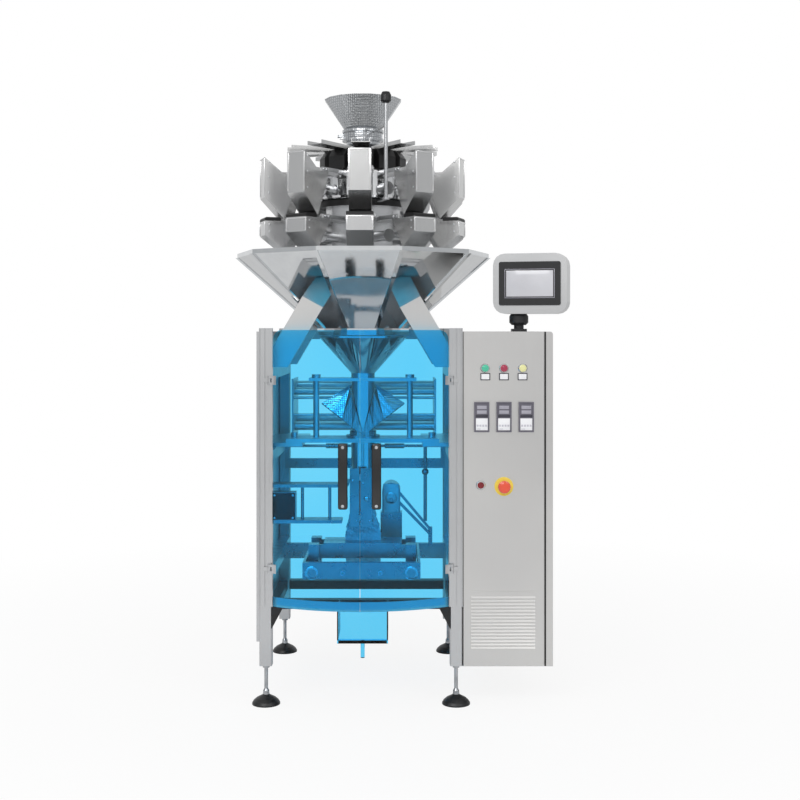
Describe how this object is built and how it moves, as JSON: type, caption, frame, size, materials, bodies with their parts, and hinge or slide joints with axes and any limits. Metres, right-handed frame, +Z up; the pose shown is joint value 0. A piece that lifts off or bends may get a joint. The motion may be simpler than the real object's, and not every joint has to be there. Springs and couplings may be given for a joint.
{
  "type": "multihead weigher on a vertical form-fill-seal stand",
  "caption": "Radial multihead weigher with hinged hopper gates over a collecting chute, on a vertical bagging stand with bowed guard doors, sealing jaws, control cabinet and touch panel.",
  "frame": {"origin": "on the floor, under the middle of the bounding box", "axes": "+Z up, the guarded front faces -Y, the control cabinet stands on the +X side"},
  "size_m": [1.1098, 0.8918, 1.975],
  "materials": {
    "stainless_frame": "ground square tube",
    "stainless_satin": "satin brushed sheet",
    "stainless_polished": "bright polished sheet",
    "stainless_pan": "fine satin sheet",
    "machined_steel": "machined and ground",
    "aluminium_plate": "milled plate",
    "black_plastic": "moulded, fine grain",
    "black_coated_alloy": "black powder coat",
    "rubber_black": "moulded",
    "blue_polycarbonate": "clear tinted sheet",
    "bezel_metal": "plated ring",
    "lens_plastic": "moulded, clear tint",
    "controller_plastic": "moulded case and face",
    "yellow_plastic": "moulded ring",
    "red_plastic": "moulded head",
    "dark_red_plastic": "moulded cap",
    "screen_black": "black bezel over a display",
    "clear_film": "thin clear wrapping film"
  },
  "bodies": {
    "machine": {"frame_posts": "stainless_frame", "frame_rails": "stainless_frame", "levelling_feet": "black_plastic", "frame_cladding": "stainless_satin", "cabinet_body": "stainless_satin", "cabinet_panel": "stainless_satin", "control_bezels": "bezel_metal", "pilot_lenses": "lens_plastic", "controllers": "controller_plastic", "estop_ring": "yellow_plastic", "hmi_pedestal": "black_coated_alloy", "sill_tray": "stainless_satin", "table_plate": "aluminium_plate", "forming_collar": "stainless_polished", "forming_tube": "stainless_polished", "film_rollers": "aluminium_plate", "film_bag": "clear_film", "jaw_drive": "machined_steel", "discharge_guard": "blue_polycarbonate", "weigher_legs": "stainless_satin", "collecting_chute": "stainless_polished", "weigher_column": "stainless_satin", "weigher_drum": "stainless_polished", "rubber_boots": "rubber_black", "feeder_pans": "stainless_pan", "infeed_funnel": "stainless_polished", "funnel_rod": "stainless_satin", "feed_hoppers": "stainless_satin", "weigh_hoppers": "stainless_satin", "hopper_brackets": "machined_steel"},
    "left_door": {"left_guard_door": "blue_polycarbonate", "left_door_handle": "black_plastic"},
    "right_door": {"right_guard_door": "blue_polycarbonate", "right_door_handle": "black_plastic"},
    "touch_panel": {"hmi_box": "stainless_satin", "hmi_screen": "screen_black"},
    "estop": {"estop_head": "red_plastic"},
    "start": {"start_button": "dark_red_plastic"},
    "front_jaw": {"jaw_front": "machined_steel"},
    "rear_jaw": {"jaw_rear": "machined_steel"},
    "feed_gate_01": {"feed_gate_01": "stainless_satin"},
    "feed_gate_02": {"feed_gate_02": "stainless_satin"},
    "feed_gate_03": {"feed_gate_03": "stainless_satin"},
    "feed_gate_04": {"feed_gate_04": "stainless_satin"},
    "feed_gate_05": {"feed_gate_05": "stainless_satin"},
    "feed_gate_06": {"feed_gate_06": "stainless_satin"},
    "feed_gate_07": {"feed_gate_07": "stainless_satin"},
    "feed_gate_08": {"feed_gate_08": "stainless_satin"},
    "feed_gate_09": {"feed_gate_09": "stainless_satin"},
    "feed_gate_10": {"feed_gate_10": "stainless_satin"},
    "weigh_gate_01": {"weigh_gate_01": "stainless_satin"},
    "weigh_gate_02": {"weigh_gate_02": "stainless_satin"},
    "weigh_gate_03": {"weigh_gate_03": "stainless_satin"},
    "weigh_gate_04": {"weigh_gate_04": "stainless_satin"},
    "weigh_gate_05": {"weigh_gate_05": "stainless_satin"},
    "weigh_gate_06": {"weigh_gate_06": "stainless_satin"},
    "weigh_gate_07": {"weigh_gate_07": "stainless_satin"},
    "weigh_gate_08": {"weigh_gate_08": "stainless_satin"},
    "weigh_gate_09": {"weigh_gate_09": "stainless_satin"},
    "weigh_gate_10": {"weigh_gate_10": "stainless_satin"}
  },
  "joints": [
    {"name": "left_door_hinge", "type": "hinge", "parent": "machine", "child": "left_door", "pos_m": [-0.4149, -0.2761, 0.76], "axis": [0, 0, -1], "range_deg": [0, 110]},
    {"name": "right_door_hinge", "type": "hinge", "parent": "machine", "child": "right_door", "pos_m": [0.1671, -0.2761, 0.76], "axis": [0, 0, 1], "range_deg": [0, 110]},
    {"name": "touch_panel_swivel", "type": "hinge", "parent": "machine", "child": "touch_panel", "pos_m": [0.3881, -0.1841, 1.2523], "axis": [0, 0, 1], "range_deg": [-60, 60]},
    {"name": "estop_press", "type": "slide", "parent": "machine", "child": "estop", "axis": [0, 1, 0], "range_m": [0, 0.005], "stiffness_N_per_m": 2000, "springref_m": -0.005},
    {"name": "start_press", "type": "slide", "parent": "machine", "child": "start", "axis": [0, 1, 0], "range_m": [0, 0.003], "stiffness_N_per_m": 1000, "springref_m": -0.003},
    {"name": "front_jaw_slide", "type": "slide", "parent": "machine", "child": "front_jaw", "axis": [0, -1, 0], "range_m": [0, 0.03]},
    {"name": "rear_jaw_slide", "type": "slide", "parent": "machine", "child": "rear_jaw", "axis": [0, 1, 0], "range_m": [0, 0.03]},
    {"name": "feed_gate_01_hinge", "type": "hinge", "parent": "machine", "child": "feed_gate_01", "pos_m": [-0.1239, -0.2691, 1.7], "axis": [1, 0, 0], "range_deg": [0, 45], "stiffness_Nm_per_rad": 0.12, "springref_deg": -57.3},
    {"name": "feed_gate_02_hinge", "type": "hinge", "parent": "machine", "child": "feed_gate_02", "pos_m": [0.01423, -0.22422, 1.7], "axis": [0.809, 0.5878, 0], "range_deg": [0, 45], "stiffness_Nm_per_rad": 0.12, "springref_deg": -57.3},
    {"name": "feed_gate_03_hinge", "type": "hinge", "parent": "machine", "child": "feed_gate_03", "pos_m": [0.0996, -0.10672, 1.7], "axis": [0.309, 0.9511, 0], "range_deg": [0, 45], "stiffness_Nm_per_rad": 0.12, "springref_deg": -57.3},
    {"name": "feed_gate_04_hinge", "type": "hinge", "parent": "machine", "child": "feed_gate_04", "pos_m": [0.0996, 0.03852, 1.7], "axis": [-0.309, 0.9511, 0], "range_deg": [0, 45], "stiffness_Nm_per_rad": 0.12, "springref_deg": -57.3},
    {"name": "feed_gate_05_hinge", "type": "hinge", "parent": "machine", "child": "feed_gate_05", "pos_m": [0.01423, 0.15602, 1.7], "axis": [-0.809, 0.5878, 0], "range_deg": [0, 45], "stiffness_Nm_per_rad": 0.12, "springref_deg": -57.3},
    {"name": "feed_gate_06_hinge", "type": "hinge", "parent": "machine", "child": "feed_gate_06", "pos_m": [-0.1239, 0.2009, 1.7], "axis": [-1, 0, 0], "range_deg": [0, 45], "stiffness_Nm_per_rad": 0.12, "springref_deg": -57.3},
    {"name": "feed_gate_07_hinge", "type": "hinge", "parent": "machine", "child": "feed_gate_07", "pos_m": [-0.26203, 0.15602, 1.7], "axis": [-0.809, -0.5878, 0], "range_deg": [0, 45], "stiffness_Nm_per_rad": 0.12, "springref_deg": -57.3},
    {"name": "feed_gate_08_hinge", "type": "hinge", "parent": "machine", "child": "feed_gate_08", "pos_m": [-0.3474, 0.03852, 1.7], "axis": [-0.309, -0.9511, 0], "range_deg": [0, 45], "stiffness_Nm_per_rad": 0.12, "springref_deg": -57.3},
    {"name": "feed_gate_09_hinge", "type": "hinge", "parent": "machine", "child": "feed_gate_09", "pos_m": [-0.3474, -0.10672, 1.7], "axis": [0.309, -0.9511, 0], "range_deg": [0, 45], "stiffness_Nm_per_rad": 0.12, "springref_deg": -57.3},
    {"name": "feed_gate_10_hinge", "type": "hinge", "parent": "machine", "child": "feed_gate_10", "pos_m": [-0.26203, -0.22422, 1.7], "axis": [0.809, -0.5878, 0], "range_deg": [0, 45], "stiffness_Nm_per_rad": 0.12, "springref_deg": -57.3},
    {"name": "weigh_gate_01_hinge", "type": "hinge", "parent": "machine", "child": "weigh_gate_01", "pos_m": [-0.1239, -0.2721, 1.546], "axis": [1, 0, 0], "range_deg": [0, 45], "stiffness_Nm_per_rad": 0.12, "springref_deg": -57.3},
    {"name": "weigh_gate_02_hinge", "type": "hinge", "parent": "machine", "child": "weigh_gate_02", "pos_m": [0.01599, -0.22665, 1.546], "axis": [0.809, 0.5878, 0], "range_deg": [0, 45], "stiffness_Nm_per_rad": 0.12, "springref_deg": -57.3},
    {"name": "weigh_gate_03_hinge", "type": "hinge", "parent": "machine", "child": "weigh_gate_03", "pos_m": [0.10245, -0.10765, 1.546], "axis": [0.309, 0.9511, 0], "range_deg": [0, 45], "stiffness_Nm_per_rad": 0.12, "springref_deg": -57.3},
    {"name": "weigh_gate_04_hinge", "type": "hinge", "parent": "machine", "child": "weigh_gate_04", "pos_m": [0.10245, 0.03945, 1.546], "axis": [-0.309, 0.9511, 0], "range_deg": [0, 45], "stiffness_Nm_per_rad": 0.12, "springref_deg": -57.3},
    {"name": "weigh_gate_05_hinge", "type": "hinge", "parent": "machine", "child": "weigh_gate_05", "pos_m": [0.01599, 0.15845, 1.546], "axis": [-0.809, 0.5878, 0], "range_deg": [0, 45], "stiffness_Nm_per_rad": 0.12, "springref_deg": -57.3},
    {"name": "weigh_gate_06_hinge", "type": "hinge", "parent": "machine", "child": "weigh_gate_06", "pos_m": [-0.1239, 0.2039, 1.546], "axis": [-1, 0, 0], "range_deg": [0, 45], "stiffness_Nm_per_rad": 0.12, "springref_deg": -57.3},
    {"name": "weigh_gate_07_hinge", "type": "hinge", "parent": "machine", "child": "weigh_gate_07", "pos_m": [-0.26379, 0.15845, 1.546], "axis": [-0.809, -0.5878, 0], "range_deg": [0, 45], "stiffness_Nm_per_rad": 0.12, "springref_deg": -57.3},
    {"name": "weigh_gate_08_hinge", "type": "hinge", "parent": "machine", "child": "weigh_gate_08", "pos_m": [-0.35025, 0.03945, 1.546], "axis": [-0.309, -0.9511, 0], "range_deg": [0, 45], "stiffness_Nm_per_rad": 0.12, "springref_deg": -57.3},
    {"name": "weigh_gate_09_hinge", "type": "hinge", "parent": "machine", "child": "weigh_gate_09", "pos_m": [-0.35025, -0.10765, 1.546], "axis": [0.309, -0.9511, 0], "range_deg": [0, 45], "stiffness_Nm_per_rad": 0.12, "springref_deg": -57.3},
    {"name": "weigh_gate_10_hinge", "type": "hinge", "parent": "machine", "child": "weigh_gate_10", "pos_m": [-0.26379, -0.22665, 1.546], "axis": [0.809, -0.5878, 0], "range_deg": [0, 45], "stiffness_Nm_per_rad": 0.12, "springref_deg": -57.3}
  ],
  "couplings": [
    {"joint": "rear_jaw_slide", "follows": "front_jaw_slide", "ratio": 1}
  ]
}
